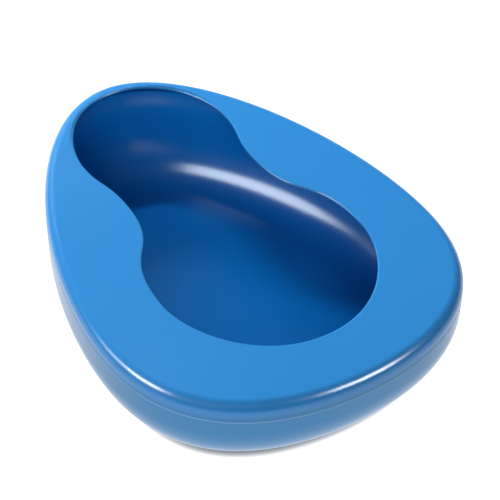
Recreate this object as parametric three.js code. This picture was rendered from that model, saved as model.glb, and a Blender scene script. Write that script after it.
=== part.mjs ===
// Bedpan made of two plastic mouldings, an upper seat shell and a lower base pan, that meet in a
// tongue-and-rebate joint and are welded there. Millimetres. +Z is up, z = 0 is the resting plane,
// +Y points to the narrow, higher end, and the pan is symmetric about x = 0.
import * as THREE from 'three';

// Plan outline of the outside wall: an egg, round at the wide end and drawn out at the narrow end.
const halfLength = 202;
const halfWidth = 152.5;
const widestY = -67.5;
const narrowEndHandle = 80;
const narrowSideHandle = 114;
const wideSideHandle = 120;
const wideEndHandle = 48;

// Plan outline of the opening: a round lobe at the narrow end, a waist and a large lobe. The handles
// are the lengths of the curve's tangents, towards the narrow end and towards the wide end.
const openingNarrowY = 187.5;
const openingNarrowHandle = 47;
const smallLobe = { halfWidth: 68.5, y: 112, narrowHandle: 29, wideHandle: 26.5 };
const waist = { halfWidth: 60, y: 51.5, narrowHandle: 32, wideHandle: 63 };
const largeLobe = { halfWidth: 92, y: -59.5, narrowHandle: 69, wideHandle: 33.5 };
const openingWideY = -149;
const openingWideHandle = 59.5;

// Heights. The seat is a flat plane that rises from the wide end to the narrow end.
const wideEndHeight = 75.5;
const narrowEndHeight = 94.5;
const skirtDepth = 16;
const wall = 3;
const jointGap = 0.3;
const tongueHeight = 4;
const tongueThickness = 1.3;

// Roundings and draft
const seatEdgeRadius = 9;
const skirtCornerRadius = 6;
const openingEdgeRadius = 1.2;
const baseOuterRadius = 50;
const baseInnerRadius = baseOuterRadius - wall;
const draft = 0.02;

// Number of points on one side of each outline, in its segments from the narrow end to the wide end,
// and of steps round the foot
const outlineSteps = [32, 24];
const openingSteps = [12, 7, 13, 24];
const footSteps = 12;

const seatSlope = (narrowEndHeight - wideEndHeight) / (2 * halfLength);
const seatMiddleHeight = (narrowEndHeight + wideEndHeight) / 2;

function seatHeight(y) {
  return seatMiddleHeight + seatSlope * y;
}

// A closed outline from the curves of its +X side, listed from the narrow end to the wide end.
function symmetricOutline(curves, steps) {
  const side = curves.flatMap((curve, i) => curve.getPoints(steps[i]).slice(0, -1));
  const wideEnd = curves.at(-1).getPoint(1);
  const mirrored = side.slice(1).reverse().map((p) => new THREE.Vector2(-p.x, p.y));
  return [...side, wideEnd, ...mirrored];
}

function bezier(...points) {
  return new THREE.CubicBezierCurve(...points.map(([x, y]) => new THREE.Vector2(x, y)));
}

function wallOutline() {
  const narrowSide = bezier(
    [0, halfLength],
    [narrowEndHandle, halfLength],
    [halfWidth, widestY + narrowSideHandle],
    [halfWidth, widestY],
  );
  const wideSide = bezier(
    [halfWidth, widestY],
    [halfWidth, widestY - wideSideHandle],
    [wideEndHandle, -halfLength],
    [0, -halfLength],
  );
  return symmetricOutline([narrowSide, wideSide], outlineSteps);
}

function openingOutline() {
  const at = ({ halfWidth: x, y }) => [x, y];
  const towardsNarrow = ({ halfWidth: x, y, narrowHandle }) => [x, y + narrowHandle];
  const towardsWide = ({ halfWidth: x, y, wideHandle }) => [x, y - wideHandle];
  const smallLobeEnd = bezier(
    [0, openingNarrowY],
    [openingNarrowHandle, openingNarrowY],
    towardsNarrow(smallLobe),
    at(smallLobe),
  );
  const intoWaist = bezier(
    at(smallLobe),
    towardsWide(smallLobe),
    towardsNarrow(waist),
    at(waist),
  );
  const outOfWaist = bezier(
    at(waist),
    towardsWide(waist),
    towardsNarrow(largeLobe),
    at(largeLobe),
  );
  const largeLobeEnd = bezier(
    at(largeLobe),
    towardsWide(largeLobe),
    [openingWideHandle, openingWideY],
    [0, openingWideY],
  );
  return symmetricOutline([smallLobeEnd, intoWaist, outOfWaist, largeLobeEnd], openingSteps);
}

// Unit vectors that point inward from each point of an outline, which runs clockwise from above.
function inwardNormals(outline) {
  return outline.map((_, i) => {
    const before = outline.at(i - 1);
    const after = outline[(i + 1) % outline.length];
    return new THREE.Vector2(after.y - before.y, before.x - after.x).normalize();
  });
}

// One ring of a surface: the outline moved inward by `inset`, at the height given for each point.
function ring(outline, normals, inset, height) {
  return outline.map((point, i) => {
    const { x, y } = point.clone().addScaledVector(normals[i], inset);
    return new THREE.Vector3(x, y, height(x, y));
  });
}

// [inset, height] pairs on an arc, with its angles in degrees from the inward direction
function arc(inset, height, radius, from, to, steps) {
  return Array.from({ length: steps + 1 }, (_, i) => {
    const angle = THREE.MathUtils.degToRad(from + ((to - from) * i) / steps);
    return [inset + radius * Math.cos(angle), height + radius * Math.sin(angle)];
  });
}

// Triangles between neighbouring rings. With `ends` given the first and the last ring are closed by
// fans to those two points, and otherwise the last ring is joined to the first.
function surface(rings, ends) {
  const count = rings[0].length;
  const points = rings.flat();
  const triangles = [];
  const strips = ends ? rings.length - 1 : rings.length;
  for (let r = 0; r < strips; r += 1) {
    const here = r * count;
    const next = ((r + 1) % rings.length) * count;
    for (let i = 0; i < count; i += 1) {
      const j = (i + 1) % count;
      triangles.push(here + i, here + j, next + i);
      triangles.push(here + j, next + j, next + i);
    }
  }
  if (ends) {
    const lastRing = (rings.length - 1) * count;
    points.push(...ends);
    for (let i = 0; i < count; i += 1) {
      const j = (i + 1) % count;
      triangles.push(points.length - 2, j, i);
      triangles.push(points.length - 1, lastRing + i, lastRing + j);
    }
  }
  const geometry = new THREE.BufferGeometry().setFromPoints(points);
  geometry.setIndex(triangles);
  geometry.computeVertexNormals();
  return geometry;
}

const wallLine = wallOutline();
const wallNormals = inwardNormals(wallLine);
const openingLine = openingOutline();
const openingNormals = inwardNormals(openingLine);

// Rings that follow the wall, with heights measured from the seat plane
function wallRingsBelowSeat(profile) {
  return profile.map(([inset, height]) => {
    return ring(wallLine, wallNormals, inset, (x, y) => seatHeight(y) + height);
  });
}

// The upper moulding: the flat seat with its opening, a rounded edge and a short skirt. The foot of
// the skirt is rebated inside for the tongue of the base pan.
function seatShellGeometry() {
  const rebateInset = wall - tongueThickness - jointGap;
  const inside = [
    [rebateInset, -skirtDepth + tongueHeight],
    [wall, -skirtDepth + tongueHeight],
    ...arc(wall + skirtCornerRadius, -wall - skirtCornerRadius, skirtCornerRadius, 180, 90, 3),
  ];
  const openingEdge = [
    ...arc(-openingEdgeRadius, -wall + openingEdgeRadius, openingEdgeRadius, -90, 0, 3),
    ...arc(-openingEdgeRadius, -openingEdgeRadius, openingEdgeRadius, 0, 90, 3),
  ];
  const outside = [
    ...arc(seatEdgeRadius, -seatEdgeRadius, seatEdgeRadius, 90, 180, 6),
    [0, -skirtDepth],
    [rebateInset, -skirtDepth],
  ];
  const openingRings = openingEdge.map(([inset, height]) => {
    return ring(openingLine, openingNormals, inset, (x, y) => seatHeight(y) + height);
  });
  return surface([
    ...wallRingsBelowSeat(inside),
    ...openingRings,
    ...wallRingsBelowSeat(outside),
  ]);
}

// The lower moulding: a pan with a flat floor, a large rounded foot and a tongue on its rim.
function basePanGeometry() {
  const rimTop = -skirtDepth + tongueHeight - jointGap;
  const shoulder = -skirtDepth - jointGap;
  const tongueInset = wall - tongueThickness;
  const footInset = draft * (wideEndHeight - skirtDepth - baseOuterRadius);
  const innerFoot = arc(
    footInset + baseOuterRadius,
    baseOuterRadius,
    baseInnerRadius,
    270,
    180,
    footSteps,
  );
  const outerFoot = arc(
    footInset + baseOuterRadius,
    baseOuterRadius,
    baseOuterRadius,
    180,
    270,
    footSteps,
  );
  const rim = [
    [wall, rimTop],
    [tongueInset, rimTop],
    [tongueInset, shoulder],
    [0, shoulder],
  ];
  const fixedHeight = ([inset, height]) => ring(wallLine, wallNormals, inset, () => height);
  const centre = (height) => new THREE.Vector3(0, widestY / 2, height);
  const rings = [
    ...innerFoot.map(fixedHeight),
    ...wallRingsBelowSeat(rim),
    ...outerFoot.map(fixedHeight),
  ];
  return surface(rings, [centre(wall), centre(0)]);
}

const bluePlastic = { color: 0x2f86d0, roughness: 0.32, metalness: 0 };
const innerBluePlastic = { color: 0x2477c2, roughness: 0.3, metalness: 0 };

const bedpan = new THREE.Group();
bedpan.name = 'bedpan';

function addPiece(name, geometry, look) {
  const mesh = new THREE.Mesh(geometry, new THREE.MeshStandardMaterial(look));
  mesh.name = name;
  bedpan.add(mesh);
}

addPiece('base_pan', basePanGeometry(), innerBluePlastic);
addPiece('seat_shell', seatShellGeometry(), bluePlastic);

export default bedpan;
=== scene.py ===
# A blue plastic bedpan: a glossy seat moulding welded to a deeper base moulding, on a white table.
# The scene is in metres, with +Z up and +Y towards the narrow, higher end. The outlines and profiles
# are in millimetres, and make_surface turns them into metres.
import math

import bpy
from mathutils import Matrix, Vector


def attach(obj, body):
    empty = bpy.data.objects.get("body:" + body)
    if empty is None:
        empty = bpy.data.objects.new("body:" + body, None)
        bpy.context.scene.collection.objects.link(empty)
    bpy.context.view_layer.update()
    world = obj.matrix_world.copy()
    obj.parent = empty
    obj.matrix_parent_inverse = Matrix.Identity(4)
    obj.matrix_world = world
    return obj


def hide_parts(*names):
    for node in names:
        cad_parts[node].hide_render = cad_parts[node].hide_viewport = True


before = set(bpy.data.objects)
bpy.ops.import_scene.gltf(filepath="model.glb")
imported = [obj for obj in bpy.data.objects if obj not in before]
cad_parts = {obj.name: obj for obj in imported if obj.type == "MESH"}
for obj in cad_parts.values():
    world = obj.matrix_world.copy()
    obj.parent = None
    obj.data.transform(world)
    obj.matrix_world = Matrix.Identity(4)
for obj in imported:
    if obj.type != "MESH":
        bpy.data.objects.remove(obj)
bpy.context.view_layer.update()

MM = 0.001

# The CAD model's own dimensions, in millimetres. A handle is the length of a curve's tangent.
HALF_LENGTH = 202
HALF_WIDTH = 152.5
WIDEST_Y = -67.5
NARROW_END_HANDLE = 80
NARROW_SIDE_HANDLE = 114
WIDE_SIDE_HANDLE = 120
WIDE_END_HANDLE = 48

OPENING_NARROW_Y = 187.5
OPENING_NARROW_HANDLE = 47
SMALL_LOBE = {"half_width": 68.5, "y": 112, "narrow_handle": 29, "wide_handle": 26.5}
WAIST = {"half_width": 60, "y": 51.5, "narrow_handle": 32, "wide_handle": 63}
LARGE_LOBE = {"half_width": 92, "y": -59.5, "narrow_handle": 69, "wide_handle": 33.5}
OPENING_WIDE_Y = -149
OPENING_WIDE_HANDLE = 59.5

WIDE_END_HEIGHT = 75.5
NARROW_END_HEIGHT = 94.5
SEAT_SLOPE = (NARROW_END_HEIGHT - WIDE_END_HEIGHT) / (2 * HALF_LENGTH)
SKIRT_DEPTH = 16
WALL = 3
TONGUE_HEIGHT = 4
TONGUE_THICKNESS = 1.3
JOINT_GAP = 0.3
SEAT_EDGE_RADIUS = 9
SKIRT_CORNER_RADIUS = 6
BASE_OUTER_RADIUS = 50
BASE_INNER_RADIUS = BASE_OUTER_RADIUS - WALL
DRAFT = 0.02

# Finish of the visible mouldings, in millimetres. The lip is the raised edge at the foot of the skirt,
# and a crease is the narrow ring of faces that keeps a sharp edge sharp.
OPENING_EDGE_RADIUS = 1.45
WELD_LIP = 1.3
LIP_OVERHANG = 0.25
CREASE = 0.05

# Steps along the outlines, from the narrow end to the wide end, and round each kind of edge
WALL_STEPS = (96, 72)
OPENING_STEPS = (36, 21, 39, 72)
FOOT_STEPS = 40
SEAT_EDGE_STEPS = 18
SKIRT_CORNER_STEPS = 10
OPENING_EDGE_STEPS = 6

# Linear colours of the plastic. The seat's blue is the plastic's own; the other blues are painted
# light and shade on the same plastic.
SEAT_BLUE = (0.03, 0.255, 0.645)
# Painted shade: the seat's skirt is painted a darker blue than its top, as the shade on a face that
# turns away from the light
SHADED_SKIRT_BLUE = (0.012, 0.195, 0.46)
# Painted highlight: a lighter blue along the weld lip, standing in for the light that the lip catches
WELD_HIGHLIGHT_BLUE = (0.14, 0.36, 0.64)
# Painted shade: the base is the seat's plastic painted darker, deepest inside the hollow and less deep
# on the outer wall
SHADED_INSIDE_BLUE = (0.003, 0.135, 0.46)
SHADED_OUTSIDE_BLUE = (0.01, 0.155, 0.36)

# Metres from the scene's origin to each lamp
LAMP_DISTANCE = 2.6


def seat_height(y):
    """Height of the seat plane at y."""
    middle = (NARROW_END_HEIGHT + WIDE_END_HEIGHT) / 2
    return middle + SEAT_SLOPE * y


# Outlines ------------------------------------------------------------------------------------

def bezier(start, start_handle, end_handle, end, steps):
    """Points of a cubic curve, without its last one."""
    points = []
    for i in range(steps):
        t = i / steps
        s = 1 - t
        weights = (s ** 3, 3 * s * s * t, 3 * s * t * t, t ** 3)
        corners = (start, start_handle, end_handle, end)
        x = sum(w * c[0] for w, c in zip(weights, corners))
        y = sum(w * c[1] for w, c in zip(weights, corners))
        points.append(Vector((x, y)))
    return points


def symmetric(side, wide_end_y):
    """A closed outline from its +X side, which runs from the narrow end to the wide end."""
    mirrored = [Vector((-p.x, p.y)) for p in reversed(side[1:])]
    return side + [Vector((0, wide_end_y))] + mirrored


def wall_outline():
    widest = (HALF_WIDTH, WIDEST_Y)
    narrow = bezier(
        (0, HALF_LENGTH),
        (NARROW_END_HANDLE, HALF_LENGTH),
        (HALF_WIDTH, WIDEST_Y + NARROW_SIDE_HANDLE),
        widest,
        WALL_STEPS[0],
    )
    wide = bezier(
        widest,
        (HALF_WIDTH, WIDEST_Y - WIDE_SIDE_HANDLE),
        (WIDE_END_HANDLE, -HALF_LENGTH),
        (0, -HALF_LENGTH),
        WALL_STEPS[1],
    )
    return symmetric(narrow + wide, -HALF_LENGTH)


def edge_point(place):
    return place["half_width"], place["y"]


def towards_narrow_end(place):
    return place["half_width"], place["y"] + place["narrow_handle"]


def towards_wide_end(place):
    return place["half_width"], place["y"] - place["wide_handle"]


def opening_outline():
    narrow_end = (0, OPENING_NARROW_Y)
    narrow_end_handle = (OPENING_NARROW_HANDLE, OPENING_NARROW_Y)
    wide_end = (0, OPENING_WIDE_Y)
    wide_end_handle = (OPENING_WIDE_HANDLE, OPENING_WIDE_Y)
    small = edge_point(SMALL_LOBE)
    waist = edge_point(WAIST)
    large = edge_point(LARGE_LOBE)
    curves = [
        (narrow_end, narrow_end_handle, towards_narrow_end(SMALL_LOBE), small),
        (small, towards_wide_end(SMALL_LOBE), towards_narrow_end(WAIST), waist),
        (waist, towards_wide_end(WAIST), towards_narrow_end(LARGE_LOBE), large),
        (large, towards_wide_end(LARGE_LOBE), wide_end_handle, wide_end),
    ]
    side = []
    for curve, steps in zip(curves, OPENING_STEPS):
        side += bezier(*curve, steps)
    return symmetric(side, OPENING_WIDE_Y)


def inward_normals(outline):
    normals = []
    for i in range(len(outline)):
        along = outline[(i + 1) % len(outline)] - outline[i - 1]
        normals.append(Vector((along.y, -along.x)).normalized())
    return normals


WALL_LINE = wall_outline()
WALL_NORMALS = inward_normals(WALL_LINE)
OPENING_LINE = opening_outline()
OPENING_NORMALS = inward_normals(OPENING_LINE)


def ring(outline, normals, inset, height_at):
    """The outline moved inward by inset, at the height that height_at(y) gives."""
    points = []
    for point, normal in zip(outline, normals):
        moved = point + normal * inset
        points.append(Vector((moved.x, moved.y, height_at(moved.y))))
    return points


def below_seat(profile):
    """Rings along the wall, with the profile's heights measured from the seat plane."""
    return [ring(WALL_LINE, WALL_NORMALS, inset, lambda y, h=height: seat_height(y) + h)
            for inset, height in profile]


def opening_rings(profile):
    """Rings along the opening's edge, with heights measured from the seat plane."""
    return [ring(OPENING_LINE, OPENING_NORMALS, inset, lambda y, h=height: seat_height(y) + h)
            for inset, height in profile]


def level(profile):
    """Rings along the wall, with the profile's heights measured from the floor."""
    return [ring(WALL_LINE, WALL_NORMALS, inset, lambda y, h=height: h)
            for inset, height in profile]


def arc(inset, height, radius, start, end, steps):
    """[inset, height] pairs on an arc, with its angles in degrees from the inward direction."""
    pairs = []
    for i in range(steps + 1):
        angle = math.radians(start + (end - start) * i / steps)
        pairs.append((inset + radius * math.cos(angle), height + radius * math.sin(angle)))
    return pairs


def make_surface(name, rings, ends=None):
    """A closed mesh through the rings. The last ring joins the first, or both are closed by fans
    to the two end points."""
    count = len(rings[0])
    points = [p * MM for r in rings for p in r]
    faces = []
    strips = len(rings) - 1 if ends else len(rings)
    for r in range(strips):
        here = r * count
        beyond = (r + 1) % len(rings) * count
        for i in range(count):
            j = (i + 1) % count
            faces.append((here + i, here + j, beyond + j, beyond + i))
    if ends:
        last = (len(rings) - 1) * count
        points += [p * MM for p in ends]
        for i in range(count):
            j = (i + 1) % count
            faces.append((len(points) - 2, j, i))
            faces.append((len(points) - 1, last + i, last + j))
    mesh = bpy.data.meshes.new(name)
    mesh.from_pydata([p.to_tuple() for p in points], [], faces)
    mesh.update()
    for polygon in mesh.polygons:
        polygon.use_smooth = True
    piece = bpy.data.objects.new(name, mesh)
    bpy.context.collection.objects.link(piece)
    return piece


# Mouldings -----------------------------------------------------------------------------------

# Each profile is a list of [inset, height] pairs. The pairs 1 to 2 mm beyond a rounded edge are there
# so that the flat part beside it shades flat.

def make_seat():
    rebate = WALL - TONGUE_THICKNESS - JOINT_GAP
    rebate_top = -SKIRT_DEPTH + TONGUE_HEIGHT
    lip_top = -SKIRT_DEPTH + WELD_LIP
    corner = WALL + SKIRT_CORNER_RADIUS
    inside = [
        (rebate, -SKIRT_DEPTH),
        (rebate, rebate_top),
        (WALL, rebate_top + 0.2),
        *arc(corner, -corner, SKIRT_CORNER_RADIUS, 180, 90, SKIRT_CORNER_STEPS),
        (corner + 1, -WALL),
    ]
    edge = OPENING_EDGE_RADIUS
    opening = [
        (-edge - 1, -WALL),
        *arc(-edge, -WALL + edge, edge, -90, 0, OPENING_EDGE_STEPS),
        *arc(-edge, -edge, edge, 0, 90, OPENING_EDGE_STEPS),
        (-edge - 1, 0),
    ]
    shoulder = SEAT_EDGE_RADIUS + LIP_OVERHANG
    outside = [
        (SEAT_EDGE_RADIUS + 1.5, 0),
        *arc(shoulder, -SEAT_EDGE_RADIUS, SEAT_EDGE_RADIUS, 90, 180, SEAT_EDGE_STEPS),
        (LIP_OVERHANG, -SEAT_EDGE_RADIUS - 1),
        (LIP_OVERHANG, lip_top + 0.3),
        (LIP_OVERHANG * 0.8, lip_top),
        (LIP_OVERHANG * 0.15, -SKIRT_DEPTH + WELD_LIP / 2),
        (0, -SKIRT_DEPTH + 0.3),
        (0, -SKIRT_DEPTH + CREASE),
        (0, -SKIRT_DEPTH),
        (CREASE, -SKIRT_DEPTH),
    ]
    rings = below_seat(inside) + opening_rings(opening) + below_seat(outside)
    return make_surface("seat_moulding", rings)


def make_base():
    rim_top = -SKIRT_DEPTH + TONGUE_HEIGHT - JOINT_GAP
    tongue = WALL - TONGUE_THICKNESS
    foot_inset = DRAFT * (WIDE_END_HEIGHT - SKIRT_DEPTH - BASE_OUTER_RADIUS)
    centre = foot_inset + BASE_OUTER_RADIUS
    inner = [
        (centre + 2, WALL),
        *arc(centre, BASE_OUTER_RADIUS, BASE_INNER_RADIUS, 270, 180, FOOT_STEPS),
    ]
    rim = [
        (WALL, rim_top),
        (tongue, rim_top),
        (tongue, -SKIRT_DEPTH),
        (CREASE, -SKIRT_DEPTH),
        (0, -SKIRT_DEPTH),
        (0, -SKIRT_DEPTH - CREASE),
        (0, -SKIRT_DEPTH - 1),
    ]
    foot = [
        *arc(centre, BASE_OUTER_RADIUS, BASE_OUTER_RADIUS, 180, 270, FOOT_STEPS),
        (centre + 2, 0),
    ]
    rings = level(inner) + below_seat(rim) + level(foot)
    ends = (Vector((0, WIDEST_Y / 2, WALL)), Vector((0, WIDEST_Y / 2, 0)))
    return make_surface("base_moulding", rings, ends)


# Materials -----------------------------------------------------------------------------------

def node_material(name):
    material = bpy.data.materials.new(name)
    material.use_nodes = True
    tree = material.node_tree
    return material, tree, tree.nodes["Principled BSDF"]


def noise(tree, scale, detail):
    """Noise fixed to the object. The scale is in cycles for each metre."""
    place = tree.nodes.new("ShaderNodeTexCoord").outputs["Object"]
    texture = tree.nodes.new("ShaderNodeTexNoise")
    texture.inputs["Scale"].default_value = scale
    texture.inputs["Detail"].default_value = detail
    tree.links.new(place, texture.inputs["Vector"])
    return texture.outputs["Fac"]


def plastic(name, color, roughness):
    """Glossy moulded plastic, with a faint orange peel, uneven gloss and slightly uneven dye."""
    material, tree, shader = node_material(name)
    nodes = tree.nodes
    links = tree.links
    shader.inputs["IOR"].default_value = 1.5

    darkest = [c * 0.96 for c in color]
    lightest = [min(1, c * 1.04) for c in color]
    shades = nodes.new("ShaderNodeMix")
    shades.data_type = "RGBA"
    shades.inputs["A"].default_value = (*darkest, 1)
    shades.inputs["B"].default_value = (*lightest, 1)
    links.new(noise(tree, scale=9, detail=2), shades.inputs["Factor"])
    links.new(shades.outputs["Result"], shader.inputs["Base Color"])

    gloss = nodes.new("ShaderNodeMapRange")
    gloss.inputs["To Min"].default_value = roughness * 0.9
    gloss.inputs["To Max"].default_value = roughness * 1.12
    links.new(noise(tree, scale=35, detail=4), gloss.inputs["Value"])
    links.new(gloss.outputs["Result"], shader.inputs["Roughness"])

    bump = nodes.new("ShaderNodeBump")
    bump.inputs["Strength"].default_value = 0.03
    bump.inputs["Distance"].default_value = 0.0002
    links.new(noise(tree, scale=420, detail=2), bump.inputs["Height"])
    links.new(bump.outputs["Normal"], shader.inputs["Normal"])
    return material


def tint(material, where, color):
    """Mixes the colour into the plastic by the factor that the socket gives."""
    tree = material.node_tree
    base_color = tree.nodes["Principled BSDF"].inputs["Base Color"]
    plain = base_color.links[0].from_socket
    mix = tree.nodes.new("ShaderNodeMix")
    mix.data_type = "RGBA"
    mix.inputs["B"].default_value = (*color, 1)
    tree.links.new(where, mix.inputs["Factor"])
    tree.links.new(plain, mix.inputs["A"])
    tree.links.new(mix.outputs["Result"], base_color)


def low_on_skirt(material, start, full):
    """A factor that rises from 0 at the start depth to 1 at the full depth. Both are in millimetres
    below the seat plane."""
    tree = material.node_tree
    place = tree.nodes.new("ShaderNodeTexCoord").outputs["Object"]
    axes = tree.nodes.new("ShaderNodeSeparateXYZ")
    tree.links.new(place, axes.inputs["Vector"])
    levelled = tree.nodes.new("ShaderNodeMath")
    levelled.operation = "MULTIPLY_ADD"
    levelled.inputs[1].default_value = -SEAT_SLOPE
    tree.links.new(axes.outputs["Y"], levelled.inputs[0])
    tree.links.new(axes.outputs["Z"], levelled.inputs[2])
    factor = tree.nodes.new("ShaderNodeMapRange")
    factor.inputs["From Min"].default_value = (seat_height(0) - start) * MM
    factor.inputs["From Max"].default_value = (seat_height(0) - full) * MM
    tree.links.new(levelled.outputs["Value"], factor.inputs["Value"])
    return factor.outputs["Result"]


def outside(material):
    """A factor of 1 where the surface faces away from a point above the middle of the pan, and of 0
    on the inside."""
    tree = material.node_tree
    geometry = tree.nodes.new("ShaderNodeNewGeometry")
    from_middle = tree.nodes.new("ShaderNodeVectorMath")
    from_middle.operation = "SUBTRACT"
    from_middle.inputs[1].default_value = (0, 0, 100 * MM)
    tree.links.new(geometry.outputs["Position"], from_middle.inputs[0])
    facing = tree.nodes.new("ShaderNodeVectorMath")
    facing.operation = "DOT_PRODUCT"
    tree.links.new(geometry.outputs["Normal"], facing.inputs[0])
    tree.links.new(from_middle.outputs["Vector"], facing.inputs[1])
    away = tree.nodes.new("ShaderNodeMath")
    away.operation = "GREATER_THAN"
    away.inputs[1].default_value = 0
    tree.links.new(facing.outputs["Value"], away.inputs[0])
    return away.outputs["Value"]


# Studio --------------------------------------------------------------------------------------

def make_floor():
    """A white table that glows evenly, with a painted contact shadow: the glow dims where the pan
    stands on it or close above it.
    """
    mesh = bpy.data.meshes.new("floor")
    reach = 12
    corners = [(-reach, -reach, 0), (reach, -reach, 0), (reach, reach, 0), (-reach, reach, 0)]
    mesh.from_pydata(corners, [], [(0, 1, 2, 3)])
    floor = bpy.data.objects.new("floor", mesh)
    bpy.context.collection.objects.link(floor)
    material, tree, shader = node_material("white_floor")
    shader.inputs["Base Color"].default_value = (0.3, 0.3, 0.3, 1)
    shader.inputs["Roughness"].default_value = 0.9
    shader.inputs["Specular IOR Level"].default_value = 0.1
    # Painted contact shadow: ambient occlusion dims the table's glow within 8 mm of the pan
    openness = tree.nodes.new("ShaderNodeAmbientOcclusion")
    openness.inputs["Distance"].default_value = 0.008
    painted_contact_shadow = tree.nodes.new("ShaderNodeMath")
    painted_contact_shadow.operation = "POWER"
    painted_contact_shadow.inputs[1].default_value = 2.2
    tree.links.new(openness.outputs["AO"], painted_contact_shadow.inputs[0])
    glow = tree.nodes.new("ShaderNodeMath")
    glow.operation = "MULTIPLY"
    glow.inputs[1].default_value = 1.1
    tree.links.new(painted_contact_shadow.outputs["Value"], glow.inputs[0])
    shader.inputs["Emission Color"].default_value = (1, 1, 1, 1)
    tree.links.new(glow.outputs["Value"], shader.inputs["Emission Strength"])
    mesh.materials.append(material)


def make_softbox(name, direction, size, brightness, turn=0, color=(1, 1, 1)):
    """An area light aimed at the pan from that direction. The size is across and up, in metres. The
    brightness is that of its surface, whatever the size. turn rolls it about its own axis, in
    degrees."""
    light = bpy.data.lights.new(name, "AREA")
    light.shape = "RECTANGLE"
    light.size, light.size_y = size
    light.energy = brightness * math.pi * size[0] * size[1]
    light.color = color
    lamp = bpy.data.objects.new(name, light)
    away = Vector(direction).normalized()
    place = Matrix.Translation(away * LAMP_DISTANCE)
    aim = away.to_track_quat("Z", "Y").to_matrix().to_4x4()
    roll = Matrix.Rotation(math.radians(turn), 4, "Z")
    lamp.matrix_world = place @ aim @ roll
    bpy.context.collection.objects.link(lamp)
    return lamp


def light_only(lamp, *pieces):
    """The lamp reaches those pieces and nothing else."""
    receivers = bpy.data.collections.new(lamp.name + "_receivers")
    for piece in pieces:
        receivers.objects.link(piece)
    lamp.light_linking.receiver_collection = receivers


def make_world():
    world = bpy.data.worlds.new("studio")
    world.use_nodes = True
    background = world.node_tree.nodes["Background"]
    background.inputs["Color"].default_value = (0.88, 0.94, 1.0, 1)
    background.inputs["Strength"].default_value = 0.08
    bpy.context.scene.world = world


def make_camera():
    """The viewpoint: from the wide end's left, 41 degrees above the floor."""
    azimuth = math.radians(-32.275)
    elevation = math.radians(41.08)
    roll = math.radians(0.428)
    distance = 1.3271
    target = Vector((0.0240, -0.0011, 0.040))
    back = Vector((
        math.sin(azimuth) * math.cos(elevation),
        -math.cos(azimuth) * math.cos(elevation),
        math.sin(elevation),
    ))
    level_right = Vector((math.cos(azimuth), math.sin(azimuth), 0))
    level_up = back.cross(level_right)
    right = level_right * math.cos(roll) + level_up * math.sin(roll)
    up = level_up * math.cos(roll) - level_right * math.sin(roll)
    camera = bpy.data.cameras.new("camera")
    camera.lens = 115.2
    camera.sensor_width = 36
    rig = bpy.data.objects.new("camera", camera)
    axes = Matrix((right, up, back)).transposed().to_4x4()
    rig.matrix_world = Matrix.Translation(target + back * distance) @ axes
    bpy.context.collection.objects.link(rig)
    bpy.context.scene.camera = rig


# Assembly ------------------------------------------------------------------------------------

make_camera()
make_floor()
make_world()

seat = make_seat()
seat_blue = plastic("seat_blue", SEAT_BLUE, roughness=0.22)
# Painted shade: the seat's plastic turns a darker blue from 7 to 13 mm below the seat plane
skirt = low_on_skirt(seat_blue, start=7, full=13)
# Painted highlight: a lighter band on the weld lip, the last 1.3 mm of the skirt
weld_highlight = low_on_skirt(seat_blue, start=SKIRT_DEPTH - WELD_LIP, full=SKIRT_DEPTH - 0.6)
tint(seat_blue, skirt, SHADED_SKIRT_BLUE)
tint(seat_blue, weld_highlight, WELD_HIGHLIGHT_BLUE)
seat.data.materials.append(seat_blue)
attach(seat, "root")
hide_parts("seat_shell")

base = make_base()
# Painted shade: the base is painted darker than the seat, with a deeper blue inside the hollow than on
# the outer wall
shaded_base_blue = plastic("shaded_base_blue", SHADED_INSIDE_BLUE, roughness=0.2)
tint(shaded_base_blue, outside(shaded_base_blue), SHADED_OUTSIDE_BLUE)
base.data.materials.append(shaded_base_blue)
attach(base, "root")
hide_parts("base_pan")

# Lamps that light the plastic, without a highlight of their own
key = make_softbox("key", (0.14, 0.54, 0.84), (0.9, 0.15), 60)
back = make_softbox("back", (0.1, 0.88, 0.45), (1.6, 1.0), 18)
front = make_softbox("front", (-0.5, -0.45, 0.75), (1.6, 1.6), 2)
fill = make_softbox("fill", (-0.45, -0.8, 0.5), (1.8, 1.2), 5.4)
side = make_softbox("side", (-0.85, 0.05, 0.42), (1.4, 1.0), 3.2)
for lamp in (key, back, front, fill, side):
    lamp.visible_glossy = False
light_only(key, seat, base)
light_only(back, seat, base)
light_only(side, seat, base)
light_only(front, seat)
light_only(fill, base)

# Lamps that show only as highlights: three on the seat's edges, and the long one inside the pan
left_strip = make_softbox("left_strip", (-0.74, 0.1, 0.64), (0.9, 0.8), 28, turn=29)
right_strip = make_softbox("right_strip", (0.41, -0.66, 0.62), (0.9, 0.8), 28, turn=-25)
edge_strip = make_softbox("edge_strip", (-0.74, 0.38, 0.54), (0.9, 0.8), 8, turn=29)
streak_strip = make_softbox("streak_strip", (-0.56, 0.15, 0.8), (1.3, 0.85), 17, 52, (0.84, 0.94, 1))
for lamp in (left_strip, right_strip, edge_strip, streak_strip):
    lamp.visible_diffuse = False
light_only(left_strip, seat)
light_only(right_strip, seat)
light_only(edge_strip, seat)
light_only(streak_strip, base)

bpy.context.scene.view_settings.view_transform = "Standard"
